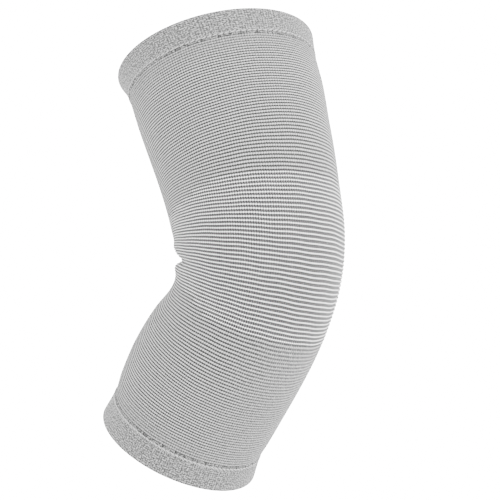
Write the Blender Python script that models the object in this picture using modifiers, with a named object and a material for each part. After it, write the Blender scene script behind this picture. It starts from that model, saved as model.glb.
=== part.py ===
"""Knee compression sleeve, knitted, in the form it takes on a bent leg.

The sleeve is a hollow knitted tube, open at both ends. Two turned cuffs, a thigh
section, a knee panel and a calf section lie end to end along one bent centreline.
Metres, +Z up. The kneecap faces -Y and the sleeve is symmetric about x = 0. The
origin is the centre of the knee, in the hollow.
"""

import math
from dataclasses import dataclass
from typing import Callable

import bmesh
import bpy
import numpy as np
from mathutils import Vector

# Lengths along the centreline, from the thigh rim down to the calf rim.
THIGH_LENGTH = 0.1137
PANEL_LENGTH = 0.0759
CALF_LENGTH = 0.1104
THIGH_CUFF_HEIGHT = 0.0204
CALF_CUFF_HEIGHT = 0.0180

# Outer widths of the worn tube.
THIGH_WIDTH = 0.1450
KNEE_WIDTH = 0.1150
CALF_WIDTH = 0.1170

# Walls.
KNIT_WALL = 0.0022
PANEL_WALL = 0.0026
CUFF_WALL = 0.0036
CUFF_PROUD = 0.0002
CUFF_FLARE = 0.0018
CUFF_EDGE_RADIUS = 0.0011
PIECE_GAP = 0.0003

# The bend of the knee.
THIGH_LEAN = math.radians(19.0)
SHIN_LEAN = math.radians(40.5)
BEND_LENGTH = 0.1740
BEND_CENTRE = THIGH_LENGTH + 0.52 * PANEL_LENGTH

# The knee panel is full height across the front and lower round the back.
PANEL_FRONT_HALF_ANGLE = math.radians(68.0)
PANEL_BACK_HALF_ANGLE = math.radians(72.0)
PANEL_UPPER_TAPER = 0.0090
PANEL_LOWER_TAPER = 0.0095

# How finely the solids are faceted.
SEGMENTS = 48
TUBE_ROW_STEP = 0.0094
PANEL_ROW_STEP = 0.0052
CUFF_ROW_STEP = 0.0060
EDGE_SEGMENTS = 2

SLEEVE_LENGTH = THIGH_LENGTH + PANEL_LENGTH + CALF_LENGTH
PANEL_END = THIGH_LENGTH + PANEL_LENGTH


@dataclass(frozen=True)
class Section:
    """One round section: where it is, its width and how far its centre sits forward."""

    down: float
    width: float
    forward: float


@dataclass(frozen=True)
class Fold:
    """A crease (positive depth) or a roll of cloth (negative depth) behind the knee."""

    down: float
    depth: float
    half_height: float
    half_angle: float


# Columns: distance down, outer width, shift of the centre towards the kneecap.
SECTIONS = (
    Section(0.00 * THIGH_LENGTH, 1.000 * THIGH_WIDTH, -0.056 * THIGH_WIDTH),
    Section(0.10 * THIGH_LENGTH, 0.956 * THIGH_WIDTH, -0.042 * THIGH_WIDTH),
    Section(0.19 * THIGH_LENGTH, 0.944 * THIGH_WIDTH, -0.038 * THIGH_WIDTH),
    Section(0.40 * THIGH_LENGTH, 0.929 * THIGH_WIDTH, -0.030 * THIGH_WIDTH),
    Section(0.68 * THIGH_LENGTH, 0.884 * THIGH_WIDTH, -0.025 * THIGH_WIDTH),
    Section(1.00 * THIGH_LENGTH, 0.839 * THIGH_WIDTH, -0.014 * THIGH_WIDTH),
    Section(THIGH_LENGTH + 0.32 * PANEL_LENGTH, 1.038 * KNEE_WIDTH, 0.020 * KNEE_WIDTH),
    Section(THIGH_LENGTH + 0.64 * PANEL_LENGTH, 0.995 * KNEE_WIDTH, 0.060 * KNEE_WIDTH),
    Section(THIGH_LENGTH + 0.95 * PANEL_LENGTH, 0.960 * KNEE_WIDTH, 0.065 * KNEE_WIDTH),
    Section(PANEL_END + 0.24 * CALF_LENGTH, 0.985 * CALF_WIDTH, 0.012 * CALF_WIDTH),
    Section(PANEL_END + 0.51 * CALF_LENGTH, 1.000 * CALF_WIDTH, -0.012 * CALF_WIDTH),
    Section(PANEL_END + 0.72 * CALF_LENGTH, 0.984 * CALF_WIDTH, -0.012 * CALF_WIDTH),
    Section(PANEL_END + 0.84 * CALF_LENGTH, 0.958 * CALF_WIDTH, -0.005 * CALF_WIDTH),
    Section(PANEL_END + 1.00 * CALF_LENGTH, 0.980 * CALF_WIDTH, 0.006 * CALF_WIDTH),
)

# Columns: distance down, depth, half height, half angle about the back.
CREASE_DOWN = THIGH_LENGTH + 0.655 * PANEL_LENGTH
ROLL_SPACING = 0.0090
FOLDS = (
    Fold(CREASE_DOWN, 0.0052, 0.0034, math.radians(98.0)),
    Fold(CREASE_DOWN - ROLL_SPACING, -0.0012, 0.0046, math.radians(90.0)),
    Fold(CREASE_DOWN + ROLL_SPACING, -0.0012, 0.0042, math.radians(90.0)),
)
FOLD_FADE_ANGLE = math.radians(34.0)
CREASE_ROWS = (-2.6, -1.5, -0.75, 0.0, 0.75, 1.5, 2.6)

Edge = Callable[[float], float]
Colour = tuple[float, float, float, float]

KNIT_GREY: Colour = (0.43, 0.43, 0.42, 1.0)
PANEL_GREY: Colour = (0.56, 0.56, 0.55, 1.0)
CUFF_GREY: Colour = (0.40, 0.40, 0.39, 1.0)


def smooth_step(value: float) -> float:
    """Ease from 0 to 1 with level ends."""
    held = min(max(value, 0.0), 1.0)
    return held * held * (3.0 - 2.0 * held)


def tilt_at(down: float) -> float:
    """Lean of the centreline from the vertical: back at the thigh, back again at the shin."""
    start = BEND_CENTRE - BEND_LENGTH / 2
    bent = smooth_step((down - start) / BEND_LENGTH)
    return THIGH_LEAN - (THIGH_LEAN + SHIN_LEAN) * bent


def centreline() -> tuple[np.ndarray, np.ndarray, np.ndarray]:
    """Distances down the centreline with the y and z found there; the bend's centre is the origin."""
    down = np.linspace(0.0, SLEEVE_LENGTH, 601)
    tilt = np.array([tilt_at(d) for d in down])
    step = np.diff(down)
    run_y = -np.sin(tilt)
    run_z = -np.cos(tilt)
    y = np.concatenate([[0.0], np.cumsum((run_y[1:] + run_y[:-1]) / 2 * step)])
    z = np.concatenate([[0.0], np.cumsum((run_z[1:] + run_z[:-1]) / 2 * step)])
    y -= np.interp(BEND_CENTRE, down, y)
    z -= np.interp(BEND_CENTRE, down, z)
    return down, y, z


CENTRE_DOWN, CENTRE_Y, CENTRE_Z = centreline()


def through(knots: list[float], values: list[float], at: float) -> float:
    """Smooth curve through the values, with each slope taken from the neighbours."""
    last = len(knots) - 1
    at = min(max(at, knots[0]), knots[last])
    i = next(k for k in range(last) if at <= knots[k + 1])

    def slope(k: int) -> float:
        low, high = max(k - 1, 0), min(k + 1, last)
        return (values[high] - values[low]) / (knots[high] - knots[low])

    span = knots[i + 1] - knots[i]
    t = (at - knots[i]) / span
    rise = t * t * (3 - 2 * t)
    leave = t * (1 - t) ** 2 * span * slope(i)
    arrive = -t * t * (1 - t) * span * slope(i + 1)
    return values[i] * (1 - rise) + values[i + 1] * rise + leave + arrive


def fold_at(down: float, angle: float) -> float:
    """Outward move of the cloth behind the knee; creases are negative."""
    from_back = math.pi - abs(angle)
    total = 0.0
    for fold in FOLDS:
        along = math.exp(-(((down - fold.down) / fold.half_height) ** 2))
        around = smooth_step((fold.half_angle - from_back) / FOLD_FADE_ANGLE)
        total -= fold.depth * along * around
    return total


def skin_point(down: float, angle: float, proud: float = 0.0) -> Vector:
    """Point on the outer surface; angle 0 is the kneecap line and turns towards +X."""
    knots = [s.down for s in SECTIONS]
    radius = through(knots, [s.width / 2 for s in SECTIONS], down)
    forward = through(knots, [s.forward for s in SECTIONS], down)
    radius += proud + fold_at(down, angle)
    tilt = tilt_at(down)
    across = -math.cos(angle) * radius - forward
    y = np.interp(down, CENTRE_DOWN, CENTRE_Y) + across * math.cos(tilt)
    z = np.interp(down, CENTRE_DOWN, CENTRE_Z) - across * math.sin(tilt)
    return Vector((radius * math.sin(angle), float(y), float(z)))


def taper_at(angle: float) -> float:
    """Share of the panel's taper: none across the front, all of it round the back."""
    start = PANEL_FRONT_HALF_ANGLE
    end = math.pi - PANEL_BACK_HALF_ANGLE
    return min(max((abs(angle) - start) / (end - start), 0.0), 1.0)


def panel_top(angle: float) -> float:
    """Where the knee panel starts, as a distance down."""
    return THIGH_LENGTH + PANEL_UPPER_TAPER * taper_at(angle)


def panel_bottom(angle: float) -> float:
    """Where the knee panel ends, as a distance down."""
    return PANEL_END - PANEL_LOWER_TAPER * taper_at(angle)


def level(down: float) -> Edge:
    """An edge that follows one course of the knit."""
    return lambda angle: down


def beyond(edge: Edge, distance: float) -> Edge:
    """The same edge, moved down by a distance."""
    return lambda angle: edge(angle) + distance


def even_rows(length: float, step: float) -> list[float]:
    """Shares from 0 to 1 in equal steps of about the given length."""
    count = max(3, round(length / step))
    return [i / count for i in range(count + 1)]


def panel_rows() -> list[float]:
    """Even rows, with closer ones where the crease runs across the back."""
    top, bottom = panel_top(math.pi), panel_bottom(math.pi)
    crease = FOLDS[0]
    close = [(crease.down + k * crease.half_height - top) / (bottom - top) for k in CREASE_ROWS]
    close = [share for share in close if 0.0 < share < 1.0]
    clear = 0.5 * PANEL_ROW_STEP / PANEL_LENGTH
    rows = [
        share
        for share in even_rows(PANEL_LENGTH, PANEL_ROW_STEP)
        if share in (0.0, 1.0) or all(abs(share - c) > clear for c in close)
    ]
    return sorted(rows + close)


def open_tube(name: str, rows: list[float], place: Callable[[float, float], Vector]) -> bpy.types.Mesh:
    """Unit circle drawn down row by row, then each point laid on the sleeve's surface."""
    bm = bmesh.new()
    bmesh.ops.create_circle(bm, segments=SEGMENTS, radius=1.0)
    ring = bm.edges[:]
    for above, below in zip(rows, rows[1:]):
        drawn = bmesh.ops.extrude_edge_only(bm, edges=ring)["geom"]
        points = [item for item in drawn if isinstance(item, bmesh.types.BMVert)]
        bmesh.ops.translate(bm, verts=points, vec=(0.0, 0.0, below - above))
        ring = [e for e in drawn if isinstance(e, bmesh.types.BMEdge) and set(e.verts) <= set(points)]
    for vert in bm.verts:
        angle = math.atan2(vert.co.x, -vert.co.y)
        vert.co = place(vert.co.z, angle)
    bmesh.ops.recalc_face_normals(bm, faces=bm.faces[:])
    bm.faces.ensure_lookup_table()
    face = bm.faces[0]
    if face.normal.x * face.calc_center_median().x < 0.0:
        bmesh.ops.reverse_faces(bm, faces=bm.faces[:])
    mesh = bpy.data.meshes.new(name)
    bm.to_mesh(mesh)
    bm.free()
    mesh.shade_smooth()
    return mesh


def knit_material(name: str, colour: Colour) -> bpy.types.Material:
    """Matt knitted yarn of one colour."""
    material = bpy.data.materials.new(name)
    material.use_nodes = True
    shader = material.node_tree.nodes["Principled BSDF"]
    shader.inputs["Base Color"].default_value = colour
    shader.inputs["Roughness"].default_value = 0.9
    shader.inputs["Metallic"].default_value = 0.0
    return material


def add_shell(
    name: str,
    mesh: bpy.types.Mesh,
    wall: float,
    colour: Colour,
    home: bpy.types.Collection,
) -> bpy.types.Object:
    """Give an open tube its wall, inwards from the outer surface."""
    piece = bpy.data.objects.new(name, mesh)
    home.objects.link(piece)
    piece.data.materials.append(knit_material(name + "_yarn", colour))
    shell = piece.modifiers.new("wall", "SOLIDIFY")
    shell.thickness = wall
    shell.offset = -1.0
    shell.use_even_offset = True
    shell.use_quality_normals = True
    return piece


def section_tube(
    name: str,
    top: Edge,
    bottom: Edge,
    rows: list[float],
    wall: float,
    colour: Colour,
    home: bpy.types.Collection,
) -> bpy.types.Object:
    """A length of knitted tube between two edges."""

    def place(share: float, angle: float) -> Vector:
        start, end = top(angle), bottom(angle)
        return skin_point(start + (end - start) * share, angle)

    return add_shell(name, open_tube(name, rows, place), wall, colour, home)


def cuff(name: str, hem: float, rim: float, home: bpy.types.Collection) -> bpy.types.Object:
    """A turned cuff: double cloth that stands proud of the tube and flares to its rim."""
    start, end = min(hem, rim), max(hem, rim)

    def place(share: float, angle: float) -> Vector:
        down = start + (end - start) * share
        proud = CUFF_PROUD + CUFF_FLARE * (down - hem) / (rim - hem)
        return skin_point(down, angle, proud)

    mesh = open_tube(name, even_rows(end - start, CUFF_ROW_STEP), place)
    piece = add_shell(name, mesh, CUFF_WALL, CUFF_GREY, home)
    rims = piece.modifiers.new("rims", "BEVEL")
    rims.width = CUFF_EDGE_RADIUS
    rims.segments = EDGE_SEGMENTS
    rims.limit_method = "ANGLE"
    rims.angle_limit = math.radians(55.0)
    return piece


def clear_scene() -> None:
    """Remove whatever the scene holds."""
    for item in list(bpy.data.objects):
        bpy.data.objects.remove(item, do_unlink=True)


def main() -> None:
    """Build the five pieces from the thigh rim down to the calf rim."""
    clear_scene()
    home = bpy.data.collections.new("knee_compression_sleeve")
    bpy.context.scene.collection.children.link(home)

    thigh_start = THIGH_CUFF_HEIGHT + PIECE_GAP
    calf_end = SLEEVE_LENGTH - CALF_CUFF_HEIGHT - PIECE_GAP
    thigh_rows = even_rows(THIGH_LENGTH - thigh_start, TUBE_ROW_STEP)
    calf_rows = even_rows(calf_end - PANEL_END, TUBE_ROW_STEP)

    above = beyond(panel_top, -PIECE_GAP)
    below = beyond(panel_bottom, PIECE_GAP)

    cuff("thigh_cuff", THIGH_CUFF_HEIGHT, 0.0, home)
    section_tube("thigh_section", level(thigh_start), above, thigh_rows, KNIT_WALL, KNIT_GREY, home)
    section_tube("knee_panel", panel_top, panel_bottom, panel_rows(), PANEL_WALL, PANEL_GREY, home)
    section_tube("calf_section", below, level(calf_end), calf_rows, KNIT_WALL, KNIT_GREY, home)
    cuff("calf_cuff", SLEEVE_LENGTH - CALF_CUFF_HEIGHT, SLEEVE_LENGTH, home)


main()
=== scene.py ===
"""Knee compression sleeve: the knitted looks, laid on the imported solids.

The sleeve is one knitted tube. Its courses, the rows of stitches, run round the leg
and its wales, the columns of stitches, run down it. The thigh section, the coarser
knee panel and the calf section are ridged course by course, and the panel meets its
neighbours in steps of whole courses. A turned cuff finishes each open end, with a
row of open stitches along its hem.
"""

import logging
import math
from dataclasses import dataclass
from enum import Enum
from functools import partial

import bmesh
import bpy
import numpy as np
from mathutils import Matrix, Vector


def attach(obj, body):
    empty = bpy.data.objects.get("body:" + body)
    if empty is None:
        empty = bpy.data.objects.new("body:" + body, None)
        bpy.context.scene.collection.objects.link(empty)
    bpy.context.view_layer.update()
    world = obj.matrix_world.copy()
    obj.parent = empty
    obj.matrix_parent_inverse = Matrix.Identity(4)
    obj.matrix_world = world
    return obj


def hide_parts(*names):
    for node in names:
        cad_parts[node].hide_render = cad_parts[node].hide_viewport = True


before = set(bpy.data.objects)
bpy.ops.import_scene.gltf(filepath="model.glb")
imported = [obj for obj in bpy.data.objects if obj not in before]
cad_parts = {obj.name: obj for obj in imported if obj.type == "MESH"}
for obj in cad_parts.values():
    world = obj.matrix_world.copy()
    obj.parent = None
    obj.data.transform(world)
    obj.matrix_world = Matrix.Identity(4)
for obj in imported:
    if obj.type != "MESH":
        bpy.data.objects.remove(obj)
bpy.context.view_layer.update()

LOG = logging.getLogger("knee_sleeve")
YARN_MAP = "yarn"
# Where the stitch group eases its painted course and gap shade: by the hems, and as painted light
# over the lit front of the shin.
SHADE_EASE = "shade_ease"
# Where the hem's holes are; the stitch group fills them with painted shade.
HOLE = "hole"
JOIN_DISTANCE = 1e-5
LINING_RATIO = 0.9
WHITE = (1.0, 1.0, 1.0, 1.0)
# The crest is the yarn's own colour; the colours of the valleys and of the gaps are painted shade.
COLOUR_INPUTS = ("Crest", "Valley", "Gap")
FLOAT_INPUTS = (
    "Bead Depth",
    "Bead Slant",
    "Speckle",
    "Patchiness",
    "Course Depth",
    "Crest Starts",
    "Crest Full",
    "Gap Depth",
)
Colour = tuple[float, float, float, float]


class Mouth(Enum):
    """Which way a cuff's rim points along the leg."""

    THIGH = -1.0
    CALF = 1.0


def eased(value: np.ndarray) -> np.ndarray:
    """Ease from 0 to 1 with level ends.

    Args:
        value: Shares of the way, which may lie outside 0 to 1.

    Returns:
        The eased shares.
    """
    held = np.clip(value, 0.0, 1.0)
    return held * held * (3.0 - 2.0 * held)


def scattered(number: np.ndarray) -> np.ndarray:
    """Draw one irregular value for each whole number, the same on every run.

    Args:
        number: Whole numbers, such as the places of the holes round a hem.

    Returns:
        Their values, from 0 to 1.
    """
    pitch, start, gain = 12.9898, 0.7, 4375.8
    return np.abs(np.sin(number * pitch + start) * gain) % 1.0


@dataclass(frozen=True)
class Section:
    """One round section: where it is, its width and how far its centre sits forward."""

    down: float
    width: float
    forward: float


@dataclass(frozen=True)
class Fold:
    """A crease (positive depth) or a roll of cloth (negative depth) behind the knee."""

    down: float
    depth: float
    half_height: float
    half_angle: float


@dataclass(frozen=True)
class SleeveForm:
    """The worn form of the sleeve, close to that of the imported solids, in metres.

    Angles round the leg are 0 on the kneecap line and turn towards +X. The cuffs hang
    askew: each course moves by its askew times a share less the cosine of the angle, up
    at the thigh and down at the calf, and the twist lifts one side over the other.
    """

    thigh_length: float = 0.1137
    panel_length: float = 0.0759
    calf_length: float = 0.1104
    thigh_cuff: float = 0.0204
    calf_cuff: float = 0.0192
    thigh_width: float = 0.1450
    knee_width: float = 0.1150
    calf_width: float = 0.1170
    thigh_lean: float = math.radians(19.0)
    shin_lean: float = math.radians(40.5)
    bend_length: float = 0.1740
    bend_share: float = 0.52
    crease_share: float = 0.655
    crease_sag: float = 0.0014
    roll_spacing: float = 0.0090
    fold_fade: float = math.radians(34.0)
    thigh_askew: float = 0.0052
    thigh_lift_share: float = 1.36
    thigh_twist: float = 0.0050
    thigh_askew_full: float = 0.030
    thigh_askew_fade: float = 0.135
    calf_askew: float = 0.0030
    calf_drop_share: float = 1.2
    calf_askew_from: float = 0.255
    centre_samples: int = 601
    centre_overrun: float = 0.02
    girth_samples: int = 40

    @property
    def panel_end(self) -> float:
        """Where the knee panel ends across the front."""
        return self.thigh_length + self.panel_length

    @property
    def length(self) -> float:
        """Length of the whole sleeve down its centreline."""
        return self.panel_end + self.calf_length

    @property
    def bend_centre(self) -> float:
        """Distance down to the middle of the bend, which is the origin."""
        return self.thigh_length + self.bend_share * self.panel_length

    def sections(self) -> tuple[Section, ...]:
        """The round sections, as shares of the lengths and widths that they follow."""
        thigh, panel, calf = self.thigh_length, self.panel_length, self.calf_length
        at_thigh, at_knee, at_calf = self.thigh_width, self.knee_width, self.calf_width
        return (
            Section(0.00 * thigh, 0.988 * at_thigh, -0.056 * at_thigh),
            Section(0.10 * thigh, 0.956 * at_thigh, -0.042 * at_thigh),
            Section(0.19 * thigh, 0.944 * at_thigh, -0.038 * at_thigh),
            Section(0.40 * thigh, 0.929 * at_thigh, -0.030 * at_thigh),
            Section(0.68 * thigh, 0.884 * at_thigh, -0.025 * at_thigh),
            Section(1.00 * thigh, 0.839 * at_thigh, -0.014 * at_thigh),
            Section(thigh + 0.32 * panel, 1.038 * at_knee, 0.020 * at_knee),
            Section(thigh + 0.64 * panel, 0.995 * at_knee, 0.060 * at_knee),
            Section(thigh + 0.95 * panel, 0.960 * at_knee, 0.065 * at_knee),
            Section(self.panel_end + 0.24 * calf, 0.985 * at_calf, 0.012 * at_calf),
            Section(self.panel_end + 0.51 * calf, 1.000 * at_calf, -0.012 * at_calf),
            Section(self.panel_end + 0.72 * calf, 0.984 * at_calf, -0.012 * at_calf),
            Section(self.panel_end + 0.84 * calf, 0.958 * at_calf, -0.005 * at_calf),
            Section(self.panel_end + 1.00 * calf, 0.980 * at_calf, 0.006 * at_calf),
        )

    def folds(self) -> tuple[Fold, ...]:
        """The crease behind the knee and the rolls above and below it."""
        crease = self.thigh_length + self.crease_share * self.panel_length
        return (
            Fold(crease + self.crease_sag, 0.0036, 0.0032, math.radians(98.0)),
            Fold(crease - self.roll_spacing, -0.0012, 0.0046, math.radians(90.0)),
            Fold(crease + self.roll_spacing, -0.0012, 0.0042, math.radians(90.0)),
        )

    def tilt(self, down: np.ndarray) -> np.ndarray:
        """Lean of the centreline from the vertical, back at the thigh and at the shin."""
        start = self.bend_centre - self.bend_length / 2
        bent = eased((down - start) / self.bend_length)
        return self.thigh_lean - (self.thigh_lean + self.shin_lean) * bent

    def centre(self, down: np.ndarray) -> tuple[np.ndarray, np.ndarray]:
        """The y and z of the centreline.

        Args:
            down: Distances down the centreline from the thigh rim.

        Returns:
            The y and the z found there, with the bend's centre as the origin.
        """
        over = self.centre_overrun
        at = np.linspace(-over, self.length + over, self.centre_samples)
        tilt = self.tilt(at)
        step = np.diff(at)
        runs = (-np.sin(tilt), -np.cos(tilt))
        found = []
        for run in runs:
            way = np.concatenate([[0.0], np.cumsum((run[1:] + run[:-1]) / 2 * step)])
            way -= np.interp(self.bend_centre, at, way)
            found.append(np.interp(down, at, way))
        return found[0], found[1]

    @staticmethod
    def through(knots: np.ndarray, values: np.ndarray, at: np.ndarray) -> np.ndarray:
        """Smooth curve through the values, with each slope taken from the neighbours.

        Args:
            knots: Rising distances at which the values are given.
            values: The value at each knot.
            at: Distances asked for; those past an end are held there.

        Returns:
            The curve's value at each of them.
        """
        last = len(knots) - 1
        at = np.clip(at, knots[0], knots[last])
        i = np.clip(np.searchsorted(knots, at, side="left") - 1, 0, last - 1)
        low = np.maximum(np.arange(last + 1) - 1, 0)
        high = np.minimum(np.arange(last + 1) + 1, last)
        slope = (values[high] - values[low]) / (knots[high] - knots[low])
        span = knots[i + 1] - knots[i]
        t = (at - knots[i]) / span
        rise = t * t * (3 - 2 * t)
        leave = t * (1 - t) ** 2 * span * slope[i]
        arrive = -t * t * (1 - t) * span * slope[i + 1]
        return values[i] * (1 - rise) + values[i + 1] * rise + leave + arrive

    def fold_move(self, down: np.ndarray, angle: np.ndarray) -> np.ndarray:
        """Outward move of the cloth behind the knee.

        Args:
            down: Distances down the centreline.
            angle: Angles round it.

        Returns:
            The moves, which are negative in a crease.
        """
        from_back = math.pi - np.abs(angle)
        total = np.zeros_like(down)
        for fold in self.folds():
            along = np.exp(-(((down - fold.down) / fold.half_height) ** 2))
            around = eased((fold.half_angle - from_back) / self.fold_fade)
            total -= fold.depth * along * around
        return total

    def hang(self, down: np.ndarray, angle: np.ndarray) -> np.ndarray:
        """How far the courses hang askew, most of all towards the mouths behind the leg.

        Args:
            down: Distances down the centreline.
            angle: Angles round it.

        Returns:
            The moves along the centreline; downwards is positive.
        """
        by_thigh = 1.0 - eased((down - self.thigh_askew_full) / self.thigh_askew_fade)
        rise = self.thigh_askew * (np.cos(angle) - self.thigh_lift_share)
        rise = rise - self.thigh_twist * np.sin(angle)
        by_calf = np.interp(down, [self.calf_askew_from, self.length], [0.0, self.calf_askew])
        return by_thigh * rise + by_calf * (self.calf_drop_share - np.cos(angle))

    def measure(self, name: str, down: np.ndarray) -> np.ndarray:
        """Read one field of the sections along the sleeve.

        Args:
            name: The field, width or forward.
            down: Distances down the centreline.

        Returns:
            The field's value at each of them.
        """
        table = self.sections()
        knots = np.array([section.down for section in table])
        return self.through(knots, np.array([getattr(section, name) for section in table]), down)

    def skin(self, down: np.ndarray, angle: np.ndarray, proud: np.ndarray) -> np.ndarray:
        """Points on the sleeve.

        Args:
            down: Distances down the centreline.
            angle: Angles round it.
            proud: Distances out from the outer surface; walls are negative.

        Returns:
            An array of points, one row each.
        """
        radius = self.measure("width", down) / 2 + proud + self.fold_move(down, angle)
        place = down + self.hang(down, angle)
        tilt = self.tilt(place)
        across = -np.cos(angle) * radius - self.measure("forward", down)
        y, z = self.centre(place)
        return np.stack(
            [radius * np.sin(angle), y + across * np.cos(tilt), z - across * np.sin(tilt)], axis=1
        )

    def girth(self, start: float, end: float) -> float:
        """Mean distance round the sleeve.

        Args:
            start: Distance down to where it begins.
            end: Distance down to where it ends.

        Returns:
            The mean girth between them.
        """
        width = self.measure("width", np.linspace(start, end, self.girth_samples))
        return float(math.pi * width.mean())


@dataclass(frozen=True)
class Ripple:
    """A slow wave in the courses: its strength, waves round, radians a metre and phase."""

    strength: float
    waves: float
    pitch: float
    phase: float


RIPPLES = (
    Ripple(1.00, 3.0, 70.0, 0.0),
    Ripple(0.70, -5.0, 118.0, 1.3),
    Ripple(0.50, 11.0, 41.0, 2.1),
    Ripple(0.35, -19.0, 203.0, 0.4),
)


@dataclass(frozen=True)
class KnitGauge:
    """How many stitches the sleeve has, and how evenly they lie."""

    form: SleeveForm
    wales: int = 216
    thigh_courses: int = 46
    panel_courses: int = 39
    calf_courses: int = 44
    panel_overrun: float = 0.0020
    unevenness: float = 0.00016

    @property
    def panel_start(self) -> int:
        """The panel's first course across the front."""
        return self.thigh_courses

    @property
    def calf_start(self) -> int:
        """The calf section's first course across the front."""
        return self.thigh_courses + self.panel_courses

    @property
    def courses(self) -> int:
        """All courses from hem to hem."""
        return self.calf_start + self.calf_courses

    def down(self, course: np.ndarray) -> np.ndarray:
        """Distance down of each course.

        Args:
            course: Course numbers, counted from the thigh hem.

        Returns:
            Their distances down the centreline.
        """
        form = self.form
        panel_end = form.panel_end + self.panel_overrun
        return np.interp(
            course,
            [0.0, self.panel_start, self.calf_start, self.courses],
            [form.thigh_cuff, form.thigh_length, panel_end, form.length - form.calf_cuff],
        )

    def drift(self, down: np.ndarray, angle: np.ndarray) -> np.ndarray:
        """How far the courses wander from their even places.

        Args:
            down: Distances down the centreline.
            angle: Angles round it.

        Returns:
            The moves along the centreline.
        """
        total = np.zeros_like(down)
        for wave in RIPPLES:
            total += wave.strength * np.sin(wave.waves * angle + wave.pitch * down + wave.phase)
        return self.unevenness * total


@dataclass(frozen=True)
class StitchEffect:
    """The shader group that draws courses, wales and flecks on the yarn map.

    It paints shade into the valleys between courses, between the beads, into the gaps and into the
    hem's holes.
    """

    name: str
    mean_share: float = 0.32
    bead_starts: float = 0.05
    bead_full: float = 0.95
    fleck_scale: float = 1.3
    fleck_gain: float = 2.6
    fleck_offset: float = -0.8
    patch_scale: float = 0.09
    # How strongly the flecks vary the painted shade in the gaps.
    gap_gain: float = 0.9
    gap_least: float = 0.35
    bead_height: float = 0.6
    course_height: float = 0.4

    @staticmethod
    def socket(tree: bpy.types.NodeTree, way: str, kind: str, name: str) -> None:
        """Add one named input or output to a group."""
        tree.interface.new_socket(name=name, in_out=way, socket_type=kind)

    @staticmethod
    def feed(
        tree: bpy.types.NodeTree,
        place: bpy.types.NodeSocket,
        value: bpy.types.NodeSocket | float,
    ) -> None:
        """Link an input to a socket, or set it to a number."""
        if isinstance(value, bpy.types.NodeSocket):
            tree.links.new(value, place)
        else:
            place.default_value = value

    def math_of(
        self, tree: bpy.types.NodeTree, operation: str, *values: bpy.types.NodeSocket | float
    ) -> bpy.types.NodeSocket:
        """One Math node.

        Args:
            tree: The tree that it goes in.
            operation: The node's operation.
            values: Sockets or numbers for its inputs.

        Returns:
            Its output socket.
        """
        node = tree.nodes.new("ShaderNodeMath")
        node.operation = operation
        for place, value in zip(node.inputs, values):
            self.feed(tree, place, value)
        return node.outputs[0]

    @staticmethod
    def own_value(tree: bpy.types.NodeTree, name: str) -> bpy.types.NodeSocket:
        """A value from 0 to 1 that the piece carries on its own points."""
        node = tree.nodes.new("ShaderNodeAttribute")
        node.attribute_type = "GEOMETRY"
        node.attribute_name = name
        return node.outputs["Fac"]

    @staticmethod
    def noise(
        tree: bpy.types.NodeTree,
        at: bpy.types.NodeSocket,
        scale: float,
        detail: float,
        roughness: float,
    ) -> bpy.types.NodeSocket:
        """Soft noise over the yarn map.

        Args:
            tree: The tree that it goes in.
            at: The place on the map.
            scale: Spots to a stitch.
            detail: How many finer layers it has.
            roughness: How strong the finer layers are.

        Returns:
            The noise, about 0.5 on the whole.
        """
        node = tree.nodes.new("ShaderNodeTexNoise")
        node.inputs["Scale"].default_value = scale
        node.inputs["Detail"].default_value = detail
        node.inputs["Roughness"].default_value = roughness
        tree.links.new(at, node.inputs["Vector"])
        return node.outputs["Fac"]

    @staticmethod
    def mix_of(
        tree: bpy.types.NodeTree,
        share: bpy.types.NodeSocket,
        low: bpy.types.NodeSocket,
        high: bpy.types.NodeSocket,
    ) -> bpy.types.NodeSocket:
        """One colour, from low to high by the share."""
        node = tree.nodes.new("ShaderNodeMix")
        node.data_type = "RGBA"
        tree.links.new(share, node.inputs["Factor"])
        tree.links.new(low, node.inputs[6])
        tree.links.new(high, node.inputs[7])
        return node.outputs[2]

    def wave(
        self,
        tree: bpy.types.NodeTree,
        at: bpy.types.NodeSocket,
        low: bpy.types.NodeSocket | float,
        high: bpy.types.NodeSocket | float,
    ) -> bpy.types.NodeSocket:
        """A ridge per whole number, 0 in its valleys and 1 on its flattened crest.

        Args:
            tree: The tree that it goes in.
            at: The number that counts the ridges.
            low: Height of the bare wave at which a ridge starts.
            high: Height of the bare wave at which it is full.

        Returns:
            The ridge's height.
        """
        turned = self.math_of(tree, "COSINE", self.math_of(tree, "MULTIPLY", at, math.tau))
        raised = self.math_of(tree, "MULTIPLY_ADD", turned, -0.5, 0.5)
        node = tree.nodes.new("ShaderNodeMapRange")
        node.interpolation_type = "SMOOTHSTEP"
        for name, value in (("Value", raised), ("From Min", low), ("From Max", high)):
            self.feed(tree, node.inputs[name], value)
        return node.outputs["Result"]

    def build(self) -> bpy.types.ShaderNodeTree:
        """Make the group.

        Returns:
            The group, with the colour and the height of the yarn as its outputs; the colour
            includes painted shade in the valleys, between the beads, in the gaps and in the hem's
            holes.
        """
        tree = bpy.data.node_groups.new(self.name, "ShaderNodeTree")
        for name in COLOUR_INPUTS:
            self.socket(tree, "INPUT", "NodeSocketColor", name)
        for name in FLOAT_INPUTS:
            self.socket(tree, "INPUT", "NodeSocketFloat", name)
        self.socket(tree, "OUTPUT", "NodeSocketColor", "Color")
        self.socket(tree, "OUTPUT", "NodeSocketFloat", "Height")
        given = tree.nodes.new("NodeGroupInput").outputs
        result = tree.nodes.new("NodeGroupOutput").inputs
        maths = partial(self.math_of, tree)

        mapped = tree.nodes.new("ShaderNodeUVMap")
        mapped.uv_map = YARN_MAP
        at = mapped.outputs["UV"]
        parts = tree.nodes.new("ShaderNodeSeparateXYZ")
        tree.links.new(at, parts.inputs["Vector"])
        wale, course = parts.outputs["X"], parts.outputs["Y"]
        # How much of the painted course and gap shade is kept.
        shade_kept = maths("SUBTRACT", 1.0, self.own_value(tree, SHADE_EASE))

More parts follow.
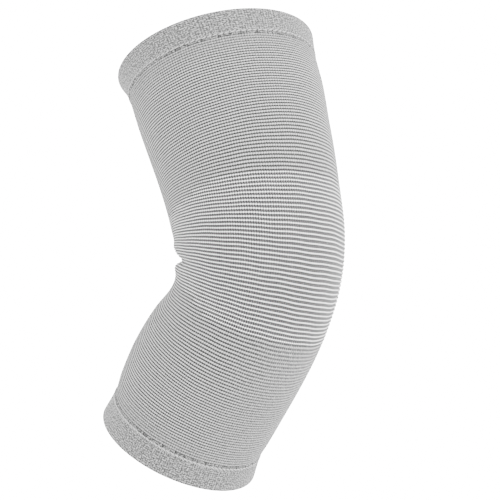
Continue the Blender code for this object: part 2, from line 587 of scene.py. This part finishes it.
        row = self.wave(tree, course, given["Crest Starts"], given["Crest Full"])
        lean = maths("MULTIPLY", maths("FRACT", course), given["Bead Slant"])
        bead = self.wave(tree, maths("ADD", wale, lean), self.bead_starts, self.bead_full)
        between = maths("SUBTRACT", 1.0, bead)
        fleck = self.noise(tree, at, self.fleck_scale, detail=2.0, roughness=0.7)
        fleck = maths("MULTIPLY_ADD", fleck, self.fleck_gain, self.fleck_offset)
        patch = self.noise(tree, at, self.patch_scale, detail=3.0, roughness=0.5)

        # The crest's share of the colour is ridged by course and lowered between beads, so painted
        # shade fills the valleys and the spaces between beads; then it is flecked.
        kept = maths("SUBTRACT", 1.0, maths("MULTIPLY", between, given["Bead Depth"]))
        ridge = maths("MULTIPLY", maths("SUBTRACT", row, self.mean_share), given["Course Depth"])
        ridge = maths("ADD", maths("MULTIPLY", ridge, shade_kept), self.mean_share)
        share = maths("MULTIPLY", ridge, kept)
        for spots, strength in ((fleck, given["Speckle"]), (patch, given["Patchiness"])):
            varied = maths("MULTIPLY", maths("SUBTRACT", spots, 0.5), strength)
            share = maths("ADD", share, varied)
        yarn = self.mix_of(tree, share, given["Valley"], given["Crest"])

        # Painted shade: the dark gap colour fills where neither a course nor a bead covers, and
        # fills the holes of a hem.
        gap = maths("MULTIPLY", maths("SUBTRACT", 1.0, row), between)
        gap = maths("MULTIPLY", gap, given["Gap Depth"])
        gap = maths("MULTIPLY", gap, maths("MULTIPLY_ADD", fleck, self.gap_gain, self.gap_least))
        gap = maths("MULTIPLY", gap, shade_kept)
        gap = maths("MAXIMUM", gap, self.own_value(tree, HOLE))
        tree.links.new(self.mix_of(tree, gap, yarn, given["Gap"]), result["Color"])

        beaded = maths("MULTIPLY", maths("MULTIPLY", bead, row), self.bead_height)
        tall = maths("ADD", beaded, maths("MULTIPLY", row, self.course_height))
        tree.links.new(tall, result["Height"])
        return tree


@dataclass(frozen=True)
class YarnFinish:
    """One knitted finish: its yarn colour, the painted shade of its valleys and gaps, and how
    strongly its stitches show.
    """

    name: str
    slot: str
    crest: Colour
    # The colours of the valleys and of the gaps are painted shade, in the grooves between courses
    # and in the openings of the knit.
    valley: Colour
    gap: Colour
    # The bead, course and gap depths set how strongly painted shade shows between beads, between
    # courses and in the gaps.
    bead_depth: float
    bead_slant: float
    speckle: float
    patchiness: float
    course_depth: float
    crest_starts: float
    crest_full: float
    gap_depth: float
    relief: float
    sheen: float = 0.12
    sheen_roughness: float = 0.6
    roughness: float = 0.88
    specular: float = 0.18
    bump_strength: float = 0.8

    def material(self, effect: bpy.types.ShaderNodeTree) -> bpy.types.Material:
        """The finish as a material.

        Args:
            effect: The shader group that draws the stitches.

        Returns:
            The material.
        """
        made = bpy.data.materials.new(self.name)
        made.use_nodes = True
        tree = made.node_tree
        shader = tree.nodes["Principled BSDF"]
        shader.inputs["Roughness"].default_value = self.roughness
        shader.inputs["Specular IOR Level"].default_value = self.specular
        shader.inputs["Sheen Weight"].default_value = self.sheen
        shader.inputs["Sheen Roughness"].default_value = self.sheen_roughness
        group = tree.nodes.new("ShaderNodeGroup")
        group.node_tree = effect
        for name in (*COLOUR_INPUTS, *FLOAT_INPUTS):
            group.inputs[name].default_value = getattr(self, name.lower().replace(" ", "_"))
        bump = tree.nodes.new("ShaderNodeBump")
        bump.inputs["Strength"].default_value = self.bump_strength
        bump.inputs["Distance"].default_value = self.relief
        tree.links.new(group.outputs["Height"], bump.inputs["Height"])
        tree.links.new(group.outputs["Color"], shader.inputs["Base Color"])
        tree.links.new(bump.outputs["Normal"], shader.inputs["Normal"])
        return made


# Each crest is the yarn's own colour; the colours of each finish's valleys and gaps are painted
# shade.
RIBBED = YarnFinish(
    name="ribbed_grey_yarn",
    slot="ribbed_knit",
    crest=(0.40, 0.40, 0.396, 1.0),
    valley=(0.038, 0.038, 0.038, 1.0),
    gap=(0.006, 0.006, 0.006, 1.0),
    bead_depth=0.62,
    bead_slant=0.4,
    speckle=0.50,
    patchiness=0.05,
    course_depth=1.15,
    crest_starts=0.28,
    crest_full=0.92,
    gap_depth=1.6,
    relief=0.0006,
)
PANEL = YarnFinish(
    name="coarse_pale_yarn",
    slot="panel_knit",
    crest=(0.98, 0.98, 0.97, 1.0),
    valley=(0.085, 0.085, 0.085, 1.0),
    gap=(0.004, 0.004, 0.004, 1.0),
    bead_depth=0.80,
    bead_slant=0.3,
    speckle=0.35,
    patchiness=0.04,
    course_depth=1.2,
    crest_starts=0.66,
    crest_full=1.0,
    gap_depth=1.8,
    relief=0.0006,
)
CUFF = YarnFinish(
    name="cuff_grey_yarn",
    slot="cuff_knit",
    crest=(0.25, 0.25, 0.248, 1.0),
    valley=(0.034, 0.034, 0.034, 1.0),
    gap=(0.006, 0.006, 0.006, 1.0),
    bead_depth=0.8,
    bead_slant=0.35,
    speckle=3.20,
    patchiness=0.06,
    course_depth=0.45,
    crest_starts=0.05,
    crest_full=0.90,
    gap_depth=0.6,
    relief=0.0004,
)
HEM = YarnFinish(
    name="hem_loop_yarn",
    slot="cuff_knit",
    crest=(0.42, 0.42, 0.415, 1.0),
    valley=(0.20, 0.20, 0.20, 1.0),
    gap=(0.10, 0.10, 0.10, 1.0),
    bead_depth=0.3,
    bead_slant=0.0,
    speckle=0.2,
    patchiness=0.1,
    course_depth=0.5,
    crest_starts=0.05,
    crest_full=0.80,
    gap_depth=0.2,
    relief=0.0002,
)


def drawn_sheet(columns: int, rows: int) -> bmesh.types.BMesh:
    """A flat square of cloth from -1 to 1 with a yarn map.

    Args:
        columns: Faces across.
        rows: Faces down.

    Returns:
        The sheet as a bmesh, which the caller frees.
    """
    bm = bmesh.new()
    bm.loops.layers.uv.new(YARN_MAP)
    bmesh.ops.create_grid(bm, x_segments=columns, y_segments=rows, size=1.0, calc_uvs=True)
    return bm


def roll_up(bm: bmesh.types.BMesh) -> None:
    """Roll a flat sheet into a unit tube and join it down the back."""
    for vert in bm.verts:
        turn = vert.co.x * math.pi
        vert.co = Vector((math.sin(turn), -math.cos(turn), vert.co.y))
    bmesh.ops.remove_doubles(bm, verts=bm.verts[:], dist=JOIN_DISTANCE)


def add_lining(bm: bmesh.types.BMesh) -> None:
    """Give a rolled tube its second layer, a smaller copy inside it, joined at both ends."""
    drawn = bmesh.ops.extrude_face_region(bm, geom=bm.faces[:], use_keep_orig=True)["geom"]
    inner = [item for item in drawn if isinstance(item, bmesh.types.BMVert)]
    bmesh.ops.scale(bm, vec=(LINING_RATIO, LINING_RATIO, 1.0), verts=inner)
    bmesh.ops.recalc_face_normals(bm, faces=bm.faces[:])


def mesh_from(bm: bmesh.types.BMesh, name: str) -> bpy.types.Mesh:
    """Write a bmesh into a new mesh and free it."""
    mesh = bpy.data.meshes.new(name)
    bm.to_mesh(mesh)
    bm.free()
    return mesh


def read_points(mesh: bpy.types.Mesh) -> np.ndarray:
    """The mesh's points, one row each."""
    flat = np.empty(len(mesh.vertices) * 3)
    mesh.vertices.foreach_get("co", flat)
    return flat.reshape(-1, 3)


def lay_points(mesh: bpy.types.Mesh, points: np.ndarray) -> None:
    """Move the mesh's points to new places."""
    mesh.vertices.foreach_set("co", points.astype(np.float32).ravel())
    mesh.update()


def count_stitches(
    mesh: bpy.types.Mesh, wales: float, shares: list[float], courses: list[float]
) -> None:
    """Stretch the yarn map so that it counts wales round and courses down.

    Args:
        mesh: The mesh, whose map runs from 0 to 1 both ways.
        wales: Wales round the whole tube.
        shares: Rising shares of the way down the drawn sheet.
        courses: The course number at each of them.
    """
    layer = mesh.uv_layers[YARN_MAP].uv
    flat = np.empty(len(layer) * 2, np.float32)
    layer.foreach_get("vector", flat)
    flat[0::2] = flat[0::2] * wales
    flat[1::2] = np.interp(1.0 - flat[1::2], shares, courses)
    layer.foreach_set("vector", flat)


def carry(mesh: bpy.types.Mesh, name: str, values: np.ndarray) -> None:
    """Store one value from 0 to 1 on each point for the materials to read."""
    layer = mesh.attributes.new(name, "FLOAT", "POINT")
    layer.data.foreach_set("value", values.astype(np.float32))


def put_on(
    name: str, mesh: bpy.types.Mesh, material: bpy.types.Material
) -> bpy.types.Object:
    """Add a finished mesh to the scene as a piece that rides on the sleeve.

    Args:
        name: The piece's name.
        mesh: Its mesh.
        material: That finish as a material.

    Returns:
        The piece.
    """
    piece = bpy.data.objects.new(name, mesh)
    bpy.context.scene.collection.objects.link(piece)
    mesh.materials.clear()
    mesh.materials.append(material)
    mesh.shade_smooth()
    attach(piece, "root")
    return piece


@dataclass(frozen=True)
class Step:
    """A step of the panel's edge: past this angle in degrees it lies so many courses in."""

    angle: float
    courses: int


UPPER_STEPS = (Step(69.0, 2), Step(83.0, 4), Step(95.0, 5), Step(110.0, 7))
LOWER_STEPS = (Step(72.0, 2), Step(84.0, 4), Step(97.0, 5))


def stepped(angle: float, steps: tuple[Step, ...]) -> int:
    """How far the panel's edge has moved in.

    Args:
        angle: Angle from the kneecap line.
        steps: The edge's steps, with their angles in degrees.

    Returns:
        Whole courses.
    """
    passed = [step.courses for step in steps if abs(angle) > math.radians(step.angle)]
    return max(passed, default=0)


@dataclass
class KnitTube:
    """A length of the sleeve between two courses, ridged course by course."""

    name: str
    gauge: KnitGauge
    finish: YarnFinish
    first: int
    last: int
    wall: float
    ridge: float
    proud: float
    roundness: float = 0.8
    lining_ridge: float = 0.4
    # How far the painted course shade is eased over the lit front of the shin, as painted light,
    # and where that easing reaches.
    lit_shin_ease: float = 0.0
    flat_lead: float = 0.010
    flat_fade: float = 0.020
    flat_aside: float = math.radians(20.0)
    flat_half_angle: float = math.radians(78.0)
    flat_side_fade: float = math.radians(62.0)
    calm_by_hem: float = 0.60
    hem_reach: float = 0.022
    rows_a_course: int = 4
    columns: int = 224

    def edges(self, angle: float) -> tuple[float, float]:
        """The first and last course at an angle, which are the same all the way round here."""
        return float(self.first), float(self.last)

    def cut_edges(self, bm: bmesh.types.BMesh) -> None:
        """Cut away the faces of the flat sheet that lie past its first or last course."""
        start, end = self.span()
        spare = []
        for face in bm.faces:
            middle = face.calc_center_median()
            course = start + (1.0 - middle.y) / 2 * (end - start)
            top, bottom = self.edges(middle.x * math.pi)
            if course < top or course > bottom:
                spare.append(face)
        if spare:
            bmesh.ops.delete(bm, geom=spare, context="FACES")

    def mesh(self) -> bpy.types.Mesh:
        """Draw, cut, roll up, line and ridge the cloth.

        Returns:
            The finished mesh.
        """
        start, end = self.span()
        bm = drawn_sheet(self.columns, (end - start) * self.rows_a_course)
        self.cut_edges(bm)
        roll_up(bm)
        add_lining(bm)
        mesh = mesh_from(bm, self.name)

        points = read_points(mesh)
        angle = np.arctan2(points[:, 0], -points[:, 1])
        inner = np.hypot(points[:, 0], points[:, 1]) < (1.0 + LINING_RATIO) / 2
        course = start + (1.0 - points[:, 2]) / 2 * (end - start)
        down = self.gauge.down(course)
        ridge = np.abs(np.sin(math.pi * course)) ** self.roundness
        outside = self.proud - self.ridge * (1.0 - ridge)
        inside = -self.wall + self.lining_ridge * self.ridge * (1.0 - ridge)
        down = down + self.gauge.drift(down, angle)
        lay_points(mesh, self.gauge.form.skin(down, angle, np.where(inner, inside, outside)))
        count_stitches(mesh, self.gauge.wales, [0.0, 1.0], [start, end])
        # Where the stitch group eases its painted shade.
        carry(mesh, SHADE_EASE, self.shade_ease(down, angle))
        return mesh

    def shade_ease(self, down: np.ndarray, angle: np.ndarray) -> np.ndarray:
        """How far the painted course and gap shade is eased: by the hems, and over the front of
        the shin as painted light, where the light falls flat on the ridges.

        Args:
            down: Distances down the centreline.
            angle: Angles round it.

        Returns:
            Shares from 0 to 1.
        """
        form = self.gauge.form
        below = eased((down - form.panel_end + self.flat_lead) / self.flat_fade)
        aside = np.abs(angle - self.flat_aside)
        front = eased((self.flat_half_angle - aside) / self.flat_side_fade)
        away = np.minimum(down - form.thigh_cuff, form.length - form.calf_cuff - down)
        by_hem = self.calm_by_hem * (1.0 - eased(away / self.hem_reach))
        return np.maximum(self.lit_shin_ease * below * front, by_hem)

    def span(self) -> tuple[int, int]:
        """The first and the last course that the piece reaches anywhere."""
        return self.first, self.last

    def build(self, material: bpy.types.Material) -> bpy.types.Object:
        """Build the piece and put it in its node's place."""
        piece = put_on(self.name + "_knit", self.mesh(), material)
        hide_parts(self.name)
        start, end = self.span()
        downs = self.gauge.down(np.array([start, end], float))
        girth = self.gauge.form.girth(float(downs[0]), float(downs[1]))
        return piece


@dataclass
class ThighSection(KnitTube):
    """Fine ribbed knit from the thigh hem to the knee panel."""

    def span(self) -> tuple[int, int]:
        """It reaches further down round the back, where the panel starts lower."""
        return self.first, self.last + max(s.courses for s in UPPER_STEPS)

    def edges(self, angle: float) -> tuple[float, float]:
        """Its lower edge is the panel's stepped upper edge."""
        return float(self.first), float(self.last + stepped(angle, UPPER_STEPS))


@dataclass
class KneePanel(KnitTube):
    """Coarse pale knit round the knee, highest in front and stepped in towards the back."""

    def edges(self, angle: float) -> tuple[float, float]:
        """Both edges step in by whole courses."""
        top = self.first + stepped(angle, UPPER_STEPS)
        bottom = self.last - stepped(angle, LOWER_STEPS)
        return float(top), float(bottom)


@dataclass
class CalfSection(KnitTube):
    """Fine ribbed knit from the knee panel to the calf hem."""

    def span(self) -> tuple[int, int]:
        """It reaches further up round the back, where the panel ends higher."""
        return self.first - max(s.courses for s in LOWER_STEPS), self.last

    def edges(self, angle: float) -> tuple[float, float]:
        """Its upper edge is the panel's stepped lower edge."""
        return float(self.first - stepped(angle, LOWER_STEPS)), float(self.last)


@dataclass
class TurnedCuff:
    """A cuff: cloth turned double, with fine wales, a soft rim and open stitches at its hem."""

    name: str
    gauge: KnitGauge
    finish: YarnFinish
    mouth: Mouth
    height: float
    wall: float = 0.0036
    proud: float = 0.0002
    flare: float = 0.0008
    rim_radius: float = 0.0016
    wale_depth: float = 0.00016
    columns: int = 864
    outer_rows: int = 26
    rim_rows: int = 8
    inner_rows: int = 12
    inner_rib_share: float = 0.3
    tuck: float = 0.22
    tucked_rows: float = 2.0
    hole_every: int = 2
    hole_depth: float = 0.0010
    hole_height: float = 0.0009
    hole_narrowness: float = 16.384
    hole_place: float = 0.0008
    hole_scatter: float = 0.0008
    hole_shift: float = 0.2
    hole_least: float = 0.35
    hole_range: float = 0.75
    second_draw: float = 7.3
    courses: int = 13

    @property
    def hem(self) -> float:
        """Distance down to the hem."""
        length = self.gauge.form.length
        return self.height if self.mouth is Mouth.THIGH else length - self.height

    @property
    def rim(self) -> float:
        """Distance down to the rim."""
        return 0.0 if self.mouth is Mouth.THIGH else self.gauge.form.length

    def profile(self, rows: np.ndarray) -> tuple[np.ndarray, np.ndarray]:
        """Follow the cloth from the hem over the rim and back down the inside.

        Args:
            rows: Row numbers from 0.

        Returns:
            The share of the way from hem to rim, and the depth below the outside.
        """
        flat = 1.0 - self.rim_radius / self.height
        out, rim, back = self.outer_rows, self.rim_rows, self.inner_rows
        bend = np.clip((rows - out) / rim, 0.0, 1.0) * math.pi
        share = np.where(rows <= out, rows / out * flat, flat + (1 - flat) * np.sin(bend))
        share = np.where(rows > out + rim, flat * (1 - (rows - out - rim) / back), share)
        depth = np.where(rows <= out, 0.0, self.wall / 2 * (1 - np.cos(bend)))
        tucked = self.wall * self.tuck * np.clip(1 - rows / self.tucked_rows, 0.0, 1.0) ** 2
        return share, depth + tucked

    def holes(self, wale: np.ndarray, share: np.ndarray, rows: np.ndarray) -> np.ndarray:
        """Open stitches along the hem, each a little different from the next.

        Args:
            wale: Wales counted round from the back.
            share: Shares of the way from hem to rim.
            rows: Row numbers from 0.

        Returns:
            Their depths below the cloth.
        """
        turn = wale / self.hole_every
        chance = scattered(np.floor(turn))
        across = turn % 1.0 - 0.5 + self.hole_shift * (chance - 0.5)
        along = share * self.height - self.hole_place - self.hole_scatter * chance
        along = along / self.hole_height
        holes = np.exp(-self.hole_narrowness * across**2 - along**2) * self.hole_depth
        opened = self.hole_least + self.hole_range * ((chance * self.second_draw) % 1.0)
        return np.where(rows <= self.outer_rows, holes * opened, 0.0)

    def mesh(self) -> bpy.types.Mesh:
        """Draw one closed strip round the cuff's profile and lay it on the sleeve.

        Returns:
            The finished mesh.
        """
        count = self.outer_rows + self.rim_rows + self.inner_rows
        bm = drawn_sheet(self.columns, count)
        roll_up(bm)
        bmesh.ops.bridge_loops(bm, edges=[edge for edge in bm.edges if edge.is_boundary])
        mesh = mesh_from(bm, self.name)

        points = read_points(mesh)
        angle = np.arctan2(points[:, 0], -points[:, 1])
        rows = (1.0 - points[:, 2]) / 2 * count
        share, depth = self.profile(rows)
        down = self.hem + self.mouth.value * share * self.height
        wale = (angle / math.tau + 0.5) * self.gauge.wales
        ribs = self.wale_depth * (np.cos(math.tau * wale) - 1) / 2
        outside = rows <= self.outer_rows + self.rim_rows / 2
        ribs = np.where(outside, ribs, self.inner_rib_share * ribs)
        holes = self.holes(wale, share, rows)
        proud = self.proud + self.flare * share - depth + ribs - holes
        down = down + self.gauge.drift(down, angle) * (1 - share)
        lay_points(mesh, self.gauge.form.skin(down, angle, proud))
        bm = bmesh.new()
        bm.from_mesh(mesh)
        bmesh.ops.recalc_face_normals(bm, faces=bm.faces[:])
        bm.to_mesh(mesh)
        bm.free()

        turned = self.courses * math.pi / 2 * self.wall / self.height
        shares = [0.0, self.outer_rows / count, 1.0 - self.inner_rows / count, 1.0]
        passed = [0.0, self.courses, self.courses + turned, 2 * self.courses + turned]
        count_stitches(mesh, self.gauge.wales, shares, passed)
        # The holes' mask, which the stitch group fills with painted shade.
        carry(mesh, HOLE, np.clip(holes / self.hole_depth, 0.0, 1.0))
        return mesh

    def build(self, material: bpy.types.Material) -> bpy.types.Object:
        """Build the cuff and put it in its node's place."""
        piece = put_on(self.name + "_knit", self.mesh(), material)
        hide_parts(self.name)
        girth = self.gauge.form.girth(min(self.hem, self.rim), max(self.hem, self.rim))
        return piece


@dataclass
class HemStitches:
    """The pale slanted loops that close the cloth between the open stitches of a hem."""

    name: str
    gauge: KnitGauge
    finish: YarnFinish
    cuff: TurnedCuff
    every: int = 2
    length: float = 0.0042
    thickness: float = 0.0007
    flatness: float = 0.7
    lean: float = math.radians(14.0)
    place: float = 0.0024
    sides: int = 8
    rings: int = 5

    def add_loop(self, bm: bmesh.types.BMesh, angle: float) -> None:
        """Lay one loop on the cuff, long round the hem and leaning.

        Args:
            bm: The ring of loops that it joins.
            angle: Its angle from the kneecap line.
        """
        cuff = self.cuff
        way = cuff.mouth.value
        small_down, small_turn = 0.001, 0.01
        down = cuff.hem + way * self.place + np.array([0.0, 0.0, small_down])
        turn = angle + np.array([0.0, small_turn, 0.0])
        proud = np.full(3, cuff.proud + cuff.flare * self.place / cuff.height)
        middle, beside, below = (Vector(spot) for spot in self.gauge.form.skin(down, turn, proud))
        round_way = (beside - middle).normalized()
        down_way = (below - middle).normalized()
        out_way = down_way.cross(round_way).normalized()
        spin = self.lean * way
        long_way = (round_way * math.cos(spin) + down_way * math.sin(spin)).normalized()
        side_way = out_way.cross(long_way).normalized()
        made = bmesh.ops.create_uvsphere(
            bm, u_segments=self.sides, v_segments=self.rings, radius=0.5, calc_uvs=True
        )
        for vert in made["verts"]:
            x, y, z = vert.co
            vert.co = (
                middle
                + long_way * (z * self.length)
                + side_way * (x * self.thickness)
                + out_way * (y * self.thickness * self.flatness)
            )

    def build(self, material: bpy.types.Material) -> bpy.types.Object:
        """Lay one small loop between each two holes.

        Args:
            material: The loops' material.

        Returns:
            The ring of loops as one piece.
        """
        count = self.gauge.wales // self.every
        bm = bmesh.new()
        bm.loops.layers.uv.new(YARN_MAP)
        for i in range(count):
            self.add_loop(bm, (i / count - 0.5) * math.tau)
        bmesh.ops.recalc_face_normals(bm, faces=bm.faces[:])
        return put_on(self.name, mesh_from(bm, self.name), material)


@dataclass(frozen=True)
class Studio:
    """Pale floor, soft lights and the camera at the photograph's viewing angle."""

    form: SleeveForm
    azimuth: float = math.radians(-40.3)
    elevation: float = math.radians(-11.2)
    distance: float = 1.1
    lens: float = 115.4
    sensor: float = 36.0
    clip: tuple[float, float] = (0.05, 20.0)
    aim_down: float = 0.150
    aim_side: float = -0.0033
    aim_up: float = 0.0011
    floor_level: float = -0.42
    floor_half: float = 4.0
    floor_paint: Colour = (0.9, 0.9, 0.9, 1.0)
    world_light: float = 5.0
    backdrop_light: float = 20.0
    key_watts: float = 56.0
    key_place: tuple[float, float, float] = (0.10, -1.60, 0.8)
    fill_watts: float = 30.0
    fill_place: tuple[float, float, float] = (1.5, 0.1, 0.2)
    lamp_size: float = 1.2

    def camera(self) -> bpy.types.Object:
        """Place the camera and make it the scene's own.

        Returns:
            The camera.
        """
        az, el = self.azimuth, self.elevation
        back = Vector((math.sin(az) * math.cos(el), -math.cos(az) * math.cos(el), math.sin(el)))
        right = Vector((math.cos(az), math.sin(az), 0.0))
        up = right.cross(-back).normalized()
        y, z = self.form.centre(np.array([self.aim_down]))
        target = Vector((0.0, float(y[0]), float(z[0]))) + right * self.aim_side + up * self.aim_up
        data = bpy.data.cameras.new("studio_camera")
        data.sensor_width = self.sensor
        data.lens = self.lens
        data.clip_start, data.clip_end = self.clip
        camera = bpy.data.objects.new("studio_camera", data)
        camera.location = target + back * self.distance
        camera.rotation_mode = "QUATERNION"
        camera.rotation_quaternion = (-back).to_track_quat("-Z", "Y")
        bpy.context.scene.collection.objects.link(camera)
        bpy.context.scene.camera = camera
        return camera

    def floor(self) -> None:
        """A plain pale floor well below the sleeve."""
        bm = bmesh.new()
        bmesh.ops.create_grid(bm, x_segments=1, y_segments=1, size=self.floor_half)
        bmesh.ops.translate(bm, verts=bm.verts[:], vec=(0.0, 0.0, self.floor_level))
        mesh = mesh_from(bm, "studio_floor")
        paint = bpy.data.materials.new("pale_floor")
        paint.use_nodes = True
        shader = paint.node_tree.nodes["Principled BSDF"]
        shader.inputs["Base Color"].default_value = self.floor_paint
        shader.inputs["Roughness"].default_value = 0.9
        shader.inputs["Specular IOR Level"].default_value = 0.1
        mesh.materials.append(paint)
        piece = bpy.data.objects.new("studio_floor", mesh)
        bpy.context.scene.collection.objects.link(piece)

    def light(self) -> None:
        """An even white surround, a broad soft key lamp and a fill at the kneecap's side."""
        world = bpy.data.worlds.new("studio_surround")
        world.use_nodes = True
        tree = world.node_tree
        surround = tree.nodes["Background"]
        surround.inputs["Color"].default_value = WHITE
        surround.inputs["Strength"].default_value = self.world_light
        backdrop = tree.nodes.new("ShaderNodeBackground")
        backdrop.inputs["Color"].default_value = WHITE
        backdrop.inputs["Strength"].default_value = self.backdrop_light
        seen = tree.nodes.new("ShaderNodeLightPath")
        either = tree.nodes.new("ShaderNodeMixShader")
        tree.links.new(seen.outputs["Is Camera Ray"], either.inputs["Fac"])
        tree.links.new(surround.outputs["Background"], either.inputs[1])
        tree.links.new(backdrop.outputs["Background"], either.inputs[2])
        tree.links.new(either.outputs["Shader"], tree.nodes["World Output"].inputs["Surface"])
        bpy.context.scene.world = world
        for name, place, watts in (
            ("key_lamp", self.key_place, self.key_watts),
            ("fill_lamp", self.fill_place, self.fill_watts),
        ):
            data = bpy.data.lights.new(name, "AREA")
            data.energy = watts
            data.size = self.lamp_size
            lamp = bpy.data.objects.new(name, data)
            lamp.location = place
            lamp.rotation_mode = "QUATERNION"
            lamp.rotation_quaternion = (-Vector(place)).to_track_quat("-Z", "Y")
            bpy.context.scene.collection.objects.link(lamp)


def main() -> None:
    """Build the studio, the cuffs, the tubes between them and the loops of both hems."""
    logging.basicConfig(level=logging.INFO, format="%(name)s: %(message)s")
    form = SleeveForm()
    gauge = KnitGauge(form)
    studio = Studio(form)
    studio.camera()
    studio.floor()
    studio.light()

    effect = StitchEffect("knit_stitches").build()
    cloth = {finish.name: finish.material(effect) for finish in (RIBBED, PANEL, CUFF, HEM)}

    thigh_cuff = TurnedCuff("thigh_cuff", gauge, CUFF, Mouth.THIGH, form.thigh_cuff)
    calf_cuff = TurnedCuff("calf_cuff", gauge, CUFF, Mouth.CALF, form.calf_cuff)
    ribbed = {"gauge": gauge, "finish": RIBBED, "wall": 0.0022, "ridge": 0.0006, "proud": 0.0}
    tubes = (
        ThighSection("thigh_section", first=0, last=gauge.panel_start, **ribbed),
        KneePanel(
            "knee_panel",
            gauge,
            PANEL,
            first=gauge.panel_start,
            last=gauge.calf_start,
            wall=0.0026,
            ridge=0.0008,
            proud=0.0001,
            roundness=1.4,
        ),
        CalfSection(
            "calf_section",
            first=gauge.calf_start,
            last=gauge.courses,
            lit_shin_ease=0.58,
            **ribbed,
        ),
    )
    made = [cuff.build(cloth[CUFF.name]) for cuff in (thigh_cuff, calf_cuff)]
    made += [tube.build(cloth[tube.finish.name]) for tube in tubes]
    for cuff, name in ((thigh_cuff, "thigh_hem_stitches"), (calf_cuff, "calf_hem_stitches")):
        made.append(HemStitches(name, gauge, HEM, cuff).build(cloth[HEM.name]))
    for piece in made:
        LOG.info("%s: %d faces", piece.name, len(piece.data.polygons))


if __name__ == "__main__":
    main()
